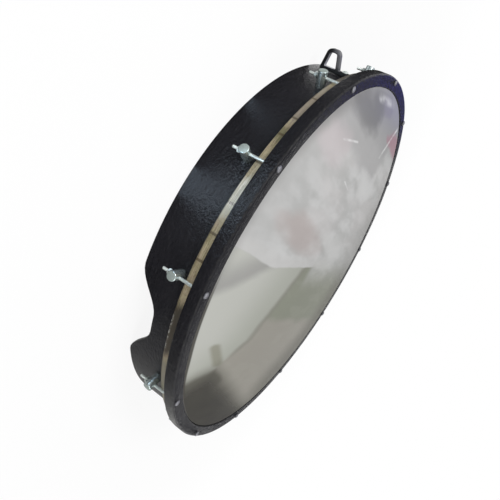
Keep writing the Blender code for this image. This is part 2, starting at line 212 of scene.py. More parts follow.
class Maker:
    """One node material, with short ways to add its nodes."""

    def __init__(self, name):
        self.mat = bpy.data.materials.new(name)
        self.mat.use_nodes = True
        self.tree = self.mat.node_tree
        self.shader = self.tree.nodes["Principled BSDF"]

    def put(self, socket, value):
        if isinstance(value, bpy.types.NodeSocket):
            self.tree.links.new(value, socket)
        else:
            socket.default_value = value

    def node(self, kind, values=(), **settings):
        made = self.tree.nodes.new("ShaderNode" + kind)
        for key, value in settings.items():
            setattr(made, key, value)
        for key, value in dict(values).items():
            self.put(made.inputs[key], value)
        return made

    def math(self, operation, first, second=0.0):
        return self.node("Math", {0: first, 1: second}, operation=operation).outputs[0]

    def times(self, *values):
        result = values[0]
        for value in values[1:]:
            result = self.math("MULTIPLY", result, value)
        return result

    def sum(self, *values):
        result = values[0]
        for value in values[1:]:
            result = self.math("ADD", result, value)
        return result

    def top(self, *values):
        result = values[0]
        for value in values[1:]:
            result = self.math("MAXIMUM", result, value)
        return result

    def span(self, value, low, high, to_low=0.0, to_high=1.0):
        """Smooth step of a value from low to high, held at both ends."""
        values = {"Value": value, "From Min": low, "From Max": high, "To Min": to_low, "To Max": to_high}
        return self.node("MapRange", values, interpolation_type="SMOOTHSTEP").outputs["Result"]

    def noise(self, place, scale, detail=3.0, roughness=0.5):
        values = {"Vector": place, "Scale": scale, "Detail": detail, "Roughness": roughness}
        return self.node("TexNoise", values).outputs[0]

    def mix(self, share, first, second):
        made = self.node("Mix", data_type="RGBA")
        self.put(made.inputs[0], share)
        self.put(made.inputs[6], first)
        self.put(made.inputs[7], second)
        return made.outputs[2]

    def bump(self, height, strength, distance):
        values = {"Height": height, "Strength": strength, "Distance": distance}
        return self.node("Bump", values).outputs["Normal"]

    def place(self):
        return self.node("TexCoord").outputs["Object"]

    def axes(self):
        return self.node("SeparateXYZ", {0: self.place()}).outputs

    def stretched(self, x, y, z):
        scaled = self.node("VectorMath", {0: self.place(), 1: (x, y, z)}, operation="MULTIPLY")
        return scaled.outputs[0]

    def combine(self, x, y, z):
        return self.node("CombineXYZ", {0: x, 1: y, 2: z}).outputs[0]

    def distance(self, x, y):
        """Length of a way x across and y along."""
        return self.math("SQRT", self.sum(self.math("POWER", x, 2.0), self.math("POWER", y, 2.0)))

    def blob(self, x, y, at, size, soft=0.5):
        """1 inside an ellipse about a place, fading to 0 at its edge."""
        across = self.math("POWER", self.math("DIVIDE", self.math("SUBTRACT", x, at[0]), size[0]), 2.0)
        along = self.math("POWER", self.math("DIVIDE", self.math("SUBTRACT", y, at[1]), size[1]), 2.0)
        return self.span(self.sum(across, along), soft, 1.0, 1.0, 0.0)

    def stroke(self, x, y, start, end):
        """Distance from a straight mark between two places, with y squeezed."""
        from_x, from_y = start[0], start[1] * SQUEEZE
        way_x, way_y = end[0] - from_x, end[1] * SQUEEZE - from_y
        length = way_x**2 + way_y**2
        off_x, off_y = self.sum(x, -from_x), self.sum(y, -from_y)
        along = self.sum(self.times(off_x, way_x / length), self.times(off_y, way_y / length))
        along = self.math("MAXIMUM", self.math("MINIMUM", along, 1.0), 0.0)
        gap_x = self.math("SUBTRACT", off_x, self.times(along, way_x))
        gap_y = self.math("SUBTRACT", off_y, self.times(along, way_y))
        return self.distance(gap_x, gap_y)

    def turn(self):
        """Angle round the drum from its front, radians, with the radius and the height."""
        x, y, z = self.axes()
        angle = self.math("ARCTAN2", x, self.times(y, -1.0))
        return angle, self.distance(x, y), z

    def set(self, **values):
        """Set the shader's sockets, named with underscores for spaces."""
        for key, value in values.items():
            self.put(self.shader.inputs[key.replace("_", " ")], value)
        return self.mat


PAINT_TONES = ((0.0102, 0.0098, 0.0122), (0.0180, 0.0178, 0.0222))


def paint_material(name, depth, gloss, edge_mask):
    """Black lacquer over bent wood: faint long grain, orange peel, pale bluish specks that are painted
    glints, and rubbed edges.
    """
    m = Maker(name)
    angle, radius, z = m.turn()
    along = m.combine(m.times(angle, 0.012), radius, z)
    grain = m.noise(along, 900.0, 5.0, 0.6)
    peel = m.noise(m.place(), 620.0, 2.0)
    ripple = m.noise(m.combine(m.times(angle, 0.6 * SHELL_OUT), radius, z), 330.0, 3.0, 0.6)
    broad = m.noise(m.place(), 16.0, 3.0)
    # pale bluish specks in the paint's colour: painted glints of its sheen
    glint_speck = m.times(m.span(m.noise(m.place(), 2300.0, 1.0), 0.70, 0.78), m.span(broad, 0.45, 0.7))
    low, high = ((*(depth * c for c in tone), 1.0) for tone in PAINT_TONES)
    colour = m.mix(broad, low, high)
    colour = m.mix(m.times(glint_speck, 0.5), colour, (0.045, 0.048, 0.054, 1.0))
    rub = m.times(edge_mask(m, radius, z), m.span(m.noise(m.place(), 240.0, 4.0), 0.42, 0.62))
    colour = m.mix(m.times(rub, 0.15), colour, (0.06, 0.055, 0.045, 1.0))
    height = m.sum(m.times(grain, 0.2), m.times(peel, 0.3), m.times(ripple, 0.8))
    m.set(
        Base_Color=colour,
        Roughness=m.span(broad, 0.3, 0.7, 0.14, 0.26),
        Specular_IOR_Level=gloss,
        Normal=m.bump(height, 0.85, 0.0020),
    )
    return m.mat


def shell_edges(m, radius, z):
    """Where the shell's paint is rubbed: along its rear rim."""
    return m.span(z, 0.0, 0.0018, 1.0, 0.0)


def hoop_edges(m, radius, z):
    """Where the hoop's paint is rubbed: along its two outer edges and its inner front edge."""
    outer = m.span(radius, HOOP_OUT - 0.0016, HOOP_OUT - 0.0004)
    front = m.span(z, HOOP_FRONT - 0.0024, HOOP_FRONT - 0.0008)
    back = m.span(z, HOOP_BACK + 0.0008, HOOP_BACK + 0.0022, 1.0, 0.0)
    inner = m.span(radius, HOOP_IN + 0.0004, HOOP_IN + 0.0016, 1.0, 0.0)
    return m.top(m.times(outer, m.top(front, back)), m.times(inner, front))


# The line that parts the film's painted reflections into two halves: its slopes beyond the middle, from there
# to PARTING_BEND and, the other way, past PARTING_TURN
PARTING_SLOPES = (0.139, 0.13, 0.055)
PARTING_BEND = -0.1
PARTING_TURN = -0.12

# Painted reflections on the film, as tinted clouds: middle and reach in x and y, share and colour
FILM_PAINTED_REFLECTIONS = (
    ((-0.186, -0.092), (0.031, 0.068), 0.8, (0.20, 0.20, 0.20)),
    ((-0.212, -0.055), (0.014, 0.050), 0.6, (0.27, 0.26, 0.295)),
    ((-0.128, -0.125), (0.028, 0.070), 0.5, (0.62, 0.55, 0.565)),
    ((-0.130, 0.055), (0.022, 0.075), 0.8, (0.68, 0.68, 0.675)),
    ((-0.040, 0.055), (0.024, 0.050), 0.7, (0.62, 0.62, 0.61)),
    ((-0.032, -0.085), (0.028, 0.110), 0.8, (0.47, 0.415, 0.40)),
    ((-0.202, 0.085), (0.013, 0.050), 0.75, (0.42, 0.22, 0.27)),
)

# Straight marks on the film: both ends in x and y; a glint streak, which is a painted highlight, also has its
# width and share
SPOT = ((0.112, -0.145), (0.133, -0.114))
GLINT_STREAKS = (
    ((-0.138, -0.116), (-0.152, -0.069), 0.0016, 0.7),
    ((-0.111, -0.036), (-0.108, -0.008), 0.0016, 0.7),
    ((-0.220, 0.056), (-0.172, 0.046), 0.0016, 0.8),
    ((-0.205, -0.075), (-0.221, -0.020), 0.0050, 0.5),
)


def film_material():
    """Pale film of a stretched translucent head, with painted reflections and painted shade: mottled clouds,
    a pale ridge across the middle, tinted patches, a dark corner and glint streaks.
    """
    m = Maker("film")
    x, y, _ = m.axes()
    angle, radius, _ = m.turn()
    lengthwise = m.stretched(1.0, SQUEEZE, 1.0)
    wander = m.times(m.sum(m.noise(lengthwise, 45.0, 4.0), -0.5), 0.05)
    blotch = m.span(m.noise(lengthwise, 58.0, 2.0), 0.3, 0.7)
    cloud = m.noise(lengthwise, 18.0, 3.0, 0.55)
    drift_x = m.sum(x, m.times(wander, 0.45))
    drift_y = m.sum(y, m.times(m.sum(cloud, -0.5), 0.22))

    # half above the parting line, painted reflections: mottled, greyer towards the top, warmer in places
    colour = m.mix(blotch, (0.49, 0.49, 0.48, 1.0), (0.64, 0.64, 0.635, 1.0))
    colour = m.mix(m.span(cloud, 0.42, 0.62, 0.0, 0.5), colour, (0.60, 0.58, 0.575, 1.0))
    colour = m.mix(m.span(y, -0.21, -0.06, 0.6, 0.0), colour, (0.48, 0.48, 0.475, 1.0))
    near = m.span(m.sum(y, wander), 0.055, 0.08, 1.0, 0.0)
    high = m.times(m.span(m.sum(x, m.times(wander, 0.3)), -0.148, -0.128, 1.0, 0.0), near)
    colour = m.mix(m.times(high, 0.85), colour, (0.44, 0.435, 0.435, 1.0))
    higher = m.times(m.span(x, -0.212, -0.16, 1.0, 0.0), m.span(y, 0.06, 0.15, 1.0, 0.3))
    colour = m.mix(m.times(higher, 0.75), colour, (0.30, 0.30, 0.305, 1.0))
    for at, size, share, tint in FILM_PAINTED_REFLECTIONS:
        colour = m.mix(m.times(m.blob(drift_x, drift_y, at, size, 0.1), share), colour, (*tint, 1.0))
    colour = m.mix(m.span(y, 0.10, 0.225, 0.0, 0.75), colour, (0.33, 0.33, 0.315, 1.0))

    # the parting line across the middle, with a pale ridge along its upper side that is a painted highlight
    bent = m.math("MAXIMUM", m.math("MINIMUM", y, 0.0), PARTING_BEND)
    across = m.sum(m.times(m.math("MAXIMUM", y, 0.0), PARTING_SLOPES[0]), m.times(bent, PARTING_SLOPES[1]))
    past_turn = m.math("MAXIMUM", m.sum(m.times(y, -1.0), PARTING_TURN), 0.0)
    across = m.sum(across, m.times(past_turn, PARTING_SLOPES[2]))
    parting = m.sum(x, across, m.times(wander, 0.1), -0.001)
    ridge_highlight = m.times(m.span(parting, -0.02, -0.006), m.span(parting, -0.001, 0.001, 1.0, 0.0))
    ridge_highlight = m.times(ridge_highlight, m.span(y, 0.05, 0.10, 1.0, 0.0))
    colour = m.mix(m.times(ridge_highlight, 0.65), colour, (0.60, 0.595, 0.585, 1.0))

    # half below the parting line, painted reflections and shade: pale on the near side of a soft diagonal,
    # greenish grey on the far side
    lean = m.sum(m.times(x, 0.5355), m.times(m.math("MAXIMUM", m.sum(x, -0.105), 0.0), 1.02))
    diagonal = m.sum(y, lean, m.times(wander, 0.25), 0.001)
    below = m.mix(m.span(diagonal, -0.13, -0.012), (0.52, 0.525, 0.485, 1.0), (0.43, 0.44, 0.39, 1.0))
    # a darker wedge under the parting line: painted shade
    wedge_shade = m.sum(m.times(x, -1.0), m.times(y, -0.4035), -0.028, m.times(wander, 0.2))
    wedge_shade = m.times(m.span(wedge_shade, -0.006, 0.010), m.span(wedge_shade, 0.008, 0.05, 1.0, 0.0))
    below = m.mix(m.times(wedge_shade, 0.75), below, (0.32, 0.315, 0.305, 1.0))
    lower = m.span(m.sum(x, m.times(wander, 0.5)), 0.068, 0.088)
    beyond = m.mix(lower, (0.268, 0.280, 0.222, 1.0), (0.350, 0.334, 0.292, 1.0))
    beyond = m.mix(m.times(m.span(blotch, 0.4, 1.0), 0.15), beyond, (0.42, 0.42, 0.36, 1.0))
    below = m.mix(m.span(diagonal, -0.008, 0.004), below, beyond)
    # a dark line along the diagonal: painted shade
    diagonal_shade = m.span(m.math("ABSOLUTE", diagonal), 0.002, 0.016, 1.0, 0.0)
    diagonal_shade = m.times(diagonal_shade, m.span(x, 0.135, 0.115, 0.0, 1.0))
    below = m.mix(m.times(diagonal_shade, 0.55), below, (0.25, 0.248, 0.21, 1.0))
    rim = m.times(m.span(radius, 0.155, 0.215), m.span(y, 0.02, 0.12))
    below = m.mix(m.times(rim, 0.8), below, (0.175, 0.17, 0.14, 1.0))
    spot = m.span(m.stroke(x, m.times(y, SQUEEZE), *SPOT), 0.0015, 0.0062, 1.0, 0.0)
    below = m.mix(m.times(spot, 0.8), below, (0.27, 0.265, 0.205, 1.0))

    # dark corner low on the near side, a painted dark reflection, sharp at its point and fading along its far
    # edge
    reach = m.sum(y, 0.11)
    border = m.top(m.times(reach, 0.40), m.times(reach, -0.21))
    corner = m.sum(x, -0.134, m.times(border, -1.0), m.times(wander, 0.15))
    sharp = m.times(m.span(corner, -0.003, 0.012), m.span(y, -0.085, -0.03, 1.0, 0.0))
    dark = m.top(sharp, m.span(corner, -0.012, 0.022))
    dusk = m.mix(m.span(corner, 0.0, 0.035), (0.125, 0.12, 0.097, 1.0), (0.034, 0.032, 0.025, 1.0))
    dusk = m.mix(m.times(blotch, 0.2), dusk, (0.10, 0.095, 0.072, 1.0))
    below = m.mix(m.times(dark, 0.95), below, dusk)
    past_parting = m.mix(m.span(y, 0.012, 0.036), m.span(parting, -0.0012, 0.0015), m.span(parting, -0.02, 0.042))
    colour = m.mix(past_parting, colour, below)

    # painted glint streaks over both halves, and shade and a brown line of painted shade along stretches of
    # the rim
    glint_streaks = None
    # pale streaks in the film's colour: painted highlights of glints, broken into patches by noise
    for start, end, width, share in GLINT_STREAKS:
        mark = m.span(m.stroke(x, m.times(y, SQUEEZE), start, end), 0.1 * width, width, share, 0.0)
        glint_streaks = mark if glint_streaks is None else m.top(glint_streaks, mark)
    streak_patches = m.span(m.noise(lengthwise, 110.0, 3.0), 0.38, 0.6, 0.25, 1.0)
    colour = m.mix(m.times(glint_streaks, streak_patches), colour, (0.84, 0.84, 0.84, 1.0))
    shade = m.times(m.span(angle, -1.1, -0.8), m.span(angle, 0.1, 0.3, 1.0, 0.0))
    shade = m.times(shade, m.span(radius, 0.206, 0.229))
    colour = m.mix(m.times(shade, m.span(angle, -0.6, -0.3, 0.55, 0.3)), colour, (0.21, 0.205, 0.195, 1.0))
    # a dark brown line along a stretch of the rim: painted shade
    inwards = m.sum(radius, m.span(angle, 0.55, 0.78, 0.0, -0.0036))
    edge = m.times(m.span(angle, 0.10, 0.32), m.span(angle, 0.75, 0.95, 1.0, 0.0))
    edge = m.times(edge, m.span(inwards, 0.2222, 0.2250))
    colour = m.mix(m.times(edge, 0.92), colour, (0.055, 0.050, 0.040, 1.0))
    m.set(
        Base_Color=colour,
        Roughness=m.span(cloud, 0.3, 0.7, 0.16, 0.26),
        Specular_IOR_Level=0.3,
        Normal=m.bump(cloud, 0.05, 0.002),
    )
    return m.mat


# Dark cross marks on the strip, in degrees from its front
MARK_TURNS = (-37.4, -29.4, -24.0, -15.8, -5.4, 1.9, 8.2)

# Stretches of the strip: where each fades in and out in radians from its front, share and colour; the first
# two are tints, the third is a painted highlight and the last three are painted shade
STRIP_STRETCHES = (
    ((-0.80, -0.74), (-0.52, -0.44), 0.7, (0.29, 0.25, 0.215)),
    ((-0.47, -0.44), (-0.40, -0.37), 0.8, (0.15, 0.145, 0.065)),
    ((-0.22, -0.19), (-0.06, -0.02), 0.75, (0.52, 0.53, 0.42)),
    ((0.30, 0.36), (0.56, 0.62), 0.92, (0.032, 0.026, 0.021)),
    ((0.58, 0.64), (1.2, 1.4), 0.7, (0.14, 0.14, 0.12)),
    ((-1.6, -1.5), (-0.86, -0.80), 0.85, (0.032, 0.029, 0.036)),
)


def wood_material():
    """Clear-finished strip: long grain, tinted stretches, stretches and edges of painted shade, short dark
    cross marks and pale streaks of painted highlight.
    """
    m = Maker("strip wood")
    angle, radius, z = m.turn()
    along = m.combine(m.times(angle, 0.012), radius, z)
    grain = m.noise(along, 1300.0, 5.0, 0.6)
    length = m.combine(m.times(angle, SHELL_OUT), radius, z)
    broad = m.noise(length, 70.0, 4.0)
    speckle = m.noise(length, 700.0, 2.0)
    colour = m.mix(m.span(grain, 0.3, 0.7), (0.26, 0.215, 0.115, 1.0), (0.53, 0.46, 0.285, 1.0))
    colour = m.mix(m.span(broad, 0.45, 0.65, 0.0, 0.5), colour, (0.40, 0.30, 0.22, 1.0))
    colour = m.mix(m.span(broad, 0.3, 0.42, 0.5, 0.0), colour, (0.26, 0.24, 0.10, 1.0))
    colour = m.mix(m.span(speckle, 0.56, 0.70, 0.0, 0.45), colour, (0.10, 0.08, 0.035, 1.0))
    colour = m.mix(m.span(speckle, 0.30, 0.42, 0.3, 0.0), colour, (0.55, 0.50, 0.38, 1.0))
    drift = m.sum(angle, m.times(m.sum(grain, -0.5), 0.12))
    for start, end, share, tint in STRIP_STRETCHES:
        inside = m.times(m.span(drift, *start), m.span(drift, *end, 1.0, 0.0))
        colour = m.mix(m.times(inside, share), colour, (*tint, 1.0))
    marks = None
    for turn in MARK_TURNS:
        off = m.math("ABSOLUTE", m.math("SUBTRACT", angle, math.radians(turn)))
        mark = m.span(off, 0.003, 0.0075, 1.0, 0.0)
        marks = mark if marks is None else m.top(marks, mark)
    more = m.span(m.noise(m.combine(m.times(angle, SHELL_OUT), 0.0, 0.0), 130.0, 1.0), 0.74, 0.78)
    colour = m.mix(m.times(m.top(marks, more), 0.75), colour, (0.075, 0.05, 0.018, 1.0))
    # pale streaks over the grain: a painted highlight
    highlight_streaks = m.times(m.span(angle, -0.21, -0.18), m.span(angle, -0.09, -0.06, 1.0, 0.0))
    highlight_streaks = m.times(highlight_streaks, m.span(grain, 0.5, 0.56))
    colour = m.mix(m.times(highlight_streaks, 0.8), colour, (0.82, 0.80, 0.72, 1.0))
    # painted shade along the strip's rear and front edges, where it meets the shell and the hoop
    edge_shade_share = m.span(angle, 0.05, 0.2, 0.85, 0.5)
    back = m.times(m.span(z, FLESH_BOTTOM + 0.0013, FLESH_BOTTOM + 0.0028, 1.0, 0.0), edge_shade_share)
    front = m.span(z, FLESH_TOP - 0.0010, FLESH_TOP - 0.0002, 0.0, 0.6)
    colour = m.mix(m.top(back, front), colour, (0.055, 0.042, 0.022, 1.0))
    chips = m.times(m.span(angle, 0.36, 0.42), m.span(angle, 0.54, 0.58, 1.0, 0.0))
    chips = m.times(chips, m.span(z, FLESH_BOTTOM + 0.0006, FLESH_BOTTOM + 0.0032, 1.0, 0.0))
    colour = m.mix(m.times(chips, m.span(speckle, 0.52, 0.6)), colour, (0.52, 0.52, 0.50, 1.0))
    m.set(
        Base_Color=colour,
        Roughness=m.span(grain, 0.3, 0.7, 0.34, 0.5),
        Specular_IOR_Level=0.4,
        Normal=m.bump(grain, 0.35, 0.0006),
    )
    return m.mat


def metal_material(name, pale, deep, low, high, metallic, rim=None):
    """Plated metal with faint cloudy stains, fine turning lines and, past a rim's radius, a darker ring."""
    m = Maker(name)
    x, y, z = m.axes()
    radius = m.distance(x, y)
    cloud = m.noise(m.place(), 420.0, 4.0, 0.6)
    turning = m.noise(m.combine(radius, m.times(z, 0.6), 0.0), 5200.0, 2.0)
    colour = m.mix(m.span(cloud, 0.35, 0.65), deep, pale)
    if rim is not None:
        colour = m.mix(m.span(radius, rim, rim + 0.0007, 0.0, 0.85), colour, (0.04, 0.04, 0.047, 1.0))
    m.set(
        Base_Color=colour,
        Metallic=metallic,
        Roughness=m.span(cloud, 0.3, 0.7, high, low),
        Normal=m.bump(turning, 0.12, 0.0002),
    )
    return m.mat


def strap_material():
    """Black strap leather with a fine pebble and a dull sheen, grey low on its front leg."""
    m = Maker("strap")
    x, y, _ = m.axes()
    pebble = m.noise(m.place(), 1600.0, 3.0, 0.6)
    broad = m.noise(m.place(), 180.0, 3.0)
    colour = m.mix(broad, (0.008, 0.008, 0.010, 1.0), (0.022, 0.022, 0.025, 1.0))
    middle = (LOOP_REAR + LOOP_FRONT) / 2
    # grey low on the front leg, varied by the pebble
    front_leg_grey = m.times(m.span(x, middle - 0.004, middle + 0.005), m.span(y, 0.003, 0.009))
    colour = m.mix(m.times(front_leg_grey, m.span(pebble, 0.3, 0.7, 0.6, 1.0)), colour, (0.17, 0.17, 0.185, 1.0))
    m.set(
        Base_Color=colour,
        Roughness=m.span(broad, 0.3, 0.7, 0.28, 0.45),
        Specular_IOR_Level=0.4,
        Normal=m.bump(pebble, 0.4, 0.0004),
    )
    return m.mat


def lining_and_highlight_material():
    """Pale inner side of the strap, fibrous, its paleness partly a painted highlight."""
    m = Maker("strap lining")
    fibre = m.noise(m.stretched(1.0, 1.0, 0.2), 2200.0, 4.0)
    colour = m.mix(fibre, (0.34, 0.34, 0.39, 1.0), (0.56, 0.56, 0.60, 1.0))
    m.set(Base_Color=colour, Roughness=0.45, Normal=m.bump(fibre, 0.3, 0.0004))
    return m.mat


def filleted(corners, steps):
    """Closed outline through (x, z, radius) corners, each corner rounded by its radius."""
    points = []
    for index, (x, z, radius) in enumerate(corners):
        corner = Vector((x, z))
        before = Vector(corners[index - 1][:2]) - corner
        after = Vector(corners[(index + 1) % len(corners)][:2]) - corner
        if radius <= 0.0:
            points.append(corner)
            continue
        before.normalize()
        after.normalize()
        half = before.angle(after) / 2
        centre = corner + (before + after).normalized() * (radius / math.sin(half))
        first = corner + before * (radius / math.tan(half)) - centre
        last = corner + after * (radius / math.tan(half)) - centre
        start = math.atan2(first.y, first.x)
        sweep = math.remainder(math.atan2(last.y, last.x) - start, 2 * math.pi)
        for step in range(steps + 1):
            turn = start + sweep * step / steps
            points.append(centre + radius * Vector((math.cos(turn), math.sin(turn))))
    return points


def with_rows(points, heights):
    """Closed outline with a point added wherever it crosses one of the heights."""
    result = []
    for index, point in enumerate(points):
        after = points[(index + 1) % len(points)]
        result.append(point)
        between = [h for h in heights if min(point.y, after.y) + 1e-5 < h < max(point.y, after.y) - 1e-5]
        for height in sorted(between, reverse=after.y < point.y):
            result.append(point.lerp(after, (height - point.y) / (after.y - point.y)))
    return result


def finished(shape, name):
    """Mesh of a bmesh, shaded smooth between its sharp edges."""
    bmesh.ops.remove_doubles(shape, verts=shape.verts, dist=1e-6)
    bmesh.ops.recalc_face_normals(shape, faces=shape.faces)
    mesh = bpy.data.meshes.new(name)
    shape.to_mesh(mesh)
    shape.free()
    mesh.shade_smooth()
    mesh.set_sharp_from_angle(angle=SMOOTH_ANGLE)
    return mesh


def loft(name, rings, closed):
    """Mesh through rings of points; a closed one joins each ring's last point to its first."""
    shape = bmesh.new()
    rows = [[shape.verts.new(point) for point in ring] for ring in rings]
    for index, row in enumerate(rows):
        before = rows[index - 1]
        for point in range(len(row)):
            if point == 0 and not closed:
                continue
            corners = []
            for vert in (before[point - 1], before[point], row[point], row[point - 1]):
                if all((vert.co - other.co).length > 1e-7 for other in corners):
                    corners.append(vert)
            if len(corners) > 2:
                shape.faces.new(corners)
    return finished(shape, name)


def turned(name, section, steps, closed=True):
    """Mesh of a section turned about Z; the section is a list or a function of the angle."""
    rings = []
    for step in range(steps):
        angle = 2 * math.pi * step / steps
        points = section(angle) if callable(section) else section
        rings.append([(r * math.cos(angle), r * math.sin(angle), z) for r, z in points])
    return loft(name, rings, closed)


def cylinders(places, radius, length):
    """Cutter of one cylinder at each place, along its Z."""
    shape = bmesh.new()
    for place in places:
        bmesh.ops.create_cone(
            shape, cap_ends=True, segments=HOLE_STEPS,
            radius1=radius, radius2=radius, depth=length, matrix=place,
        )
    return shape


def drilled(mesh, cutter_shape, name):
    """Mesh with the cutter's solids taken out of it."""
    cutter_mesh = bpy.data.meshes.new("cutter")
    cutter_shape.to_mesh(cutter_mesh)
    cutter_shape.free()
    tool = bpy.data.objects.new("cutter", cutter_mesh)
    blank = bpy.data.objects.new("blank", mesh)
    for obj in (tool, blank):
        bpy.context.scene.collection.objects.link(obj)
    boolean = blank.modifiers.new("cut", "BOOLEAN")
    boolean.object = tool
    boolean.operation = "DIFFERENCE"
    bpy.context.view_layer.update()
    depsgraph = bpy.context.evaluated_depsgraph_get()
    result = bpy.data.meshes.new_from_object(blank.evaluated_get(depsgraph))
    for obj in (tool, blank):
        bpy.data.objects.remove(obj, do_unlink=True)
    shape = bmesh.new()
    shape.from_mesh(result)
    return finished(shape, name)


def add_piece(name, mesh, mats, body, nodes, matrix=None):
    """Piece that rides on a body and stands for its nodes; a shared mesh gets its materials once."""
    if not mesh.materials:
        for mat in mats:
            mesh.materials.append(mat)
    obj = bpy.data.objects.new(name, mesh)
    bpy.context.scene.collection.objects.link(obj)
    obj.matrix_world = matrix or Matrix.Identity(4)
    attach(obj, body)
    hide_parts(*nodes)
    return obj


def around(angle, radius, height):
    """Frame at an angle round the drum, its X pointing outwards and its Z along the axis."""
    return Matrix.Rotation(angle, 4, "Z") @ Matrix.Translation((radius, 0.0, height))


def outward(angle, radius, height):
    """Frame round the drum whose Z points outwards and whose X points down the axis."""
    return around(angle, radius, height) @ Matrix.Rotation(math.pi / 2, 4, "Y")


def tuner(number):
    """Angle, ring radius, highest and lowest point of one tension bolt."""
    low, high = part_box(f"tension_bolt_{number:02d}")
    x, y = (low[0] + high[0]) / 2, (low[1] + high[1]) / 2
    return math.atan2(y, x), math.hypot(x, y), high[2], low[2]


# Places of the tuners, read from the frame
BOLT_RING = sum(tuner(number)[1] for number in TUNERS) / len(TUNERS)
BOLT_SEAT = tuner(1)[2] - HEAD_HEIGHT
BOLT_LENGTH = BOLT_SEAT - tuner(1)[3]
NUT_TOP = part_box("tension_nut_01")[1][2]
POST_HEIGHT = NUT_TOP + SEAT + POST_RADIUS
POST_BASE = SHELL_OUT + SEAT
POST_LENGTH = BOLT_RING + POST_CAP - POST_BASE
POST_BORE = BOLT_RING - POST_BASE - BOLT_HOLE - POST_WEB


def grip_rise(angle):
    """Height of the rear rim at an angle: a flat-topped bell over the hand grip."""
    reach = abs(math.remainder(angle - GRIP_ANGLE, 2 * math.pi)) * SHELL_OUT
    slope = (reach - GRIP_FLAT / 2) / ((GRIP_WIDTH - GRIP_FLAT) / 2)
    return GRIP_DEPTH * (1 + math.cos(math.pi * min(max(slope, 0.0), 1.0))) / 2


def shell_section(angle):
    """Outline of the shell's wall at an angle."""
    rim = grip_rise(angle)
    corners = [
        (SHELL_OUT, SHELL_TOP, BEARING_RADIUS),
        (SHELL_OUT, rim, RIM_RADIUS),
        (SHELL_IN, rim, RIM_EASE),
        (SHELL_IN, SHELL_TOP, SHELL_EDGE),
    ]
    rows = [rim + RIM_ROW, POST_HEIGHT - HOLE_ROW, POST_HEIGHT + HOLE_ROW, SHELL_TOP - BEARING_ROW]
    return with_rows(filleted(corners, 5), rows)


def make_shell(mat):
    """Shell, drilled for the posts' screws and the loop's."""
    mesh = turned("shell ring", shell_section, RING_STEPS)
    middle = (SHELL_OUT + SHELL_IN) / 2
    posts = [outward(tuner(number)[0], middle, POST_HEIGHT) for number in TUNERS]
    loop = [outward(LOOP_ANGLE, middle, LOOP_SCREW_HEIGHT)]
    for places, radius in ((posts, SCREW_RADIUS + SEAT), (loop, BOLT_HOLE)):
        mesh = drilled(mesh, cylinders(places, radius, 2 * SHELL_WALL), "shell ring")
    add_piece("shell_ring", mesh, [mat], "frame", ["shell"])


def make_film(mat):
    """One film, flat across the shell, bent over its edge and down inside the strip."""
    bend = FILM_BEND
    flat = (*FILM_RINGS, COLLAR_OUT - bend - FILM_FLAT_EDGE)
    turns = [math.pi / 2 * (1 - step / BEND_STEPS) for step in range(BEND_STEPS + 1)]

    def bent(radius):
        middle, height = COLLAR_OUT - bend, HEAD_TOP - bend
        return [(middle + radius * math.cos(turn), height + radius * math.sin(turn)) for turn in turns]

    outer = [(r, HEAD_TOP) for r in flat] + bent(bend) + [(COLLAR_OUT, COLLAR_END)]
    inner = [(r, HEAD_TOP - FILM) for r in flat] + bent(bend - FILM) + [(COLLAR_OUT - FILM, COLLAR_END)]
    mesh = turned("film head", outer + inner[::-1], RING_STEPS, False)
    obj = add_piece("film_head", mesh, [mat], "frame", ["head", "head_collar"])


def humps(angle, rows):
    """Sum at an angle of smooth humps, each given by its middle and reach in degrees and its height."""
    rise = 0.0
    for middle, reach, height in rows:
        share = abs(math.remainder(math.degrees(angle) - middle, 360.0)) / reach
        rise += height * math.cos(math.pi / 2 * min(share, 1.0)) ** 2
    return rise


def bow(angle):
    """How far the two wooden hoops bow forward at an angle, being drawn down a little unevenly."""
    return humps(angle, BOWS)


def make_strip(mat):
    """Strip with eased edges that waver a little, as a hand-planed one does."""

    def section(angle):
        waver = sum(height * math.sin(count * angle + phase) for count, height, phase in WAVERS)
        front = FLESH_TOP + bow(angle)
        rear = FLESH_BOTTOM + FLESH_TRIM + waver + bow(angle) + humps(angle, STRIP_PLANED)
        corners = [
            (FLESH_OUT + 0.5 * waver, front, FLESH_RADIUS),
            (FLESH_OUT + 0.5 * waver, rear, FLESH_RADIUS),
            (FLESH_IN, rear, FLESH_EDGE),
            (FLESH_IN, front, FLESH_EDGE),
        ]
        return filleted(corners, 4)

    mesh = turned("wood strip", section, RING_STEPS)
    add_piece("wood_strip", mesh, [mat], "tension_hoop", ["flesh_hoop"])


def hoop_section(angle):
    """Outline of the counter hoop at an angle."""
    front, back = HOOP_FRONT + bow(angle), HOOP_BACK + bow(angle)
    corners = [
        (HOOP_OUT, front, HOOP_RADIUS),
        (HOOP_OUT, back, HOOP_RADIUS),
        (HOOP_IN, back, HOOP_EDGE),
        (HOOP_IN, front, HOOP_LIP),
    ]
    return filleted(corners, 6)


def make_hoop(mat):
    """Counter hoop, drilled for the bolts."""
    mesh = turned("hoop ring", hoop_section, RING_STEPS)
    middle = (HOOP_BACK + HOOP_FRONT) / 2
    places = [around(tuner(number)[0], BOLT_RING, middle) for number in TUNERS]
    mesh = drilled(mesh, cylinders(places, BOLT_HOLE, 2 * (HOOP_FRONT - HOOP_BACK)), "hoop ring")
    add_piece("hoop_ring", mesh, [mat], "tension_hoop", ["counter_hoop"])


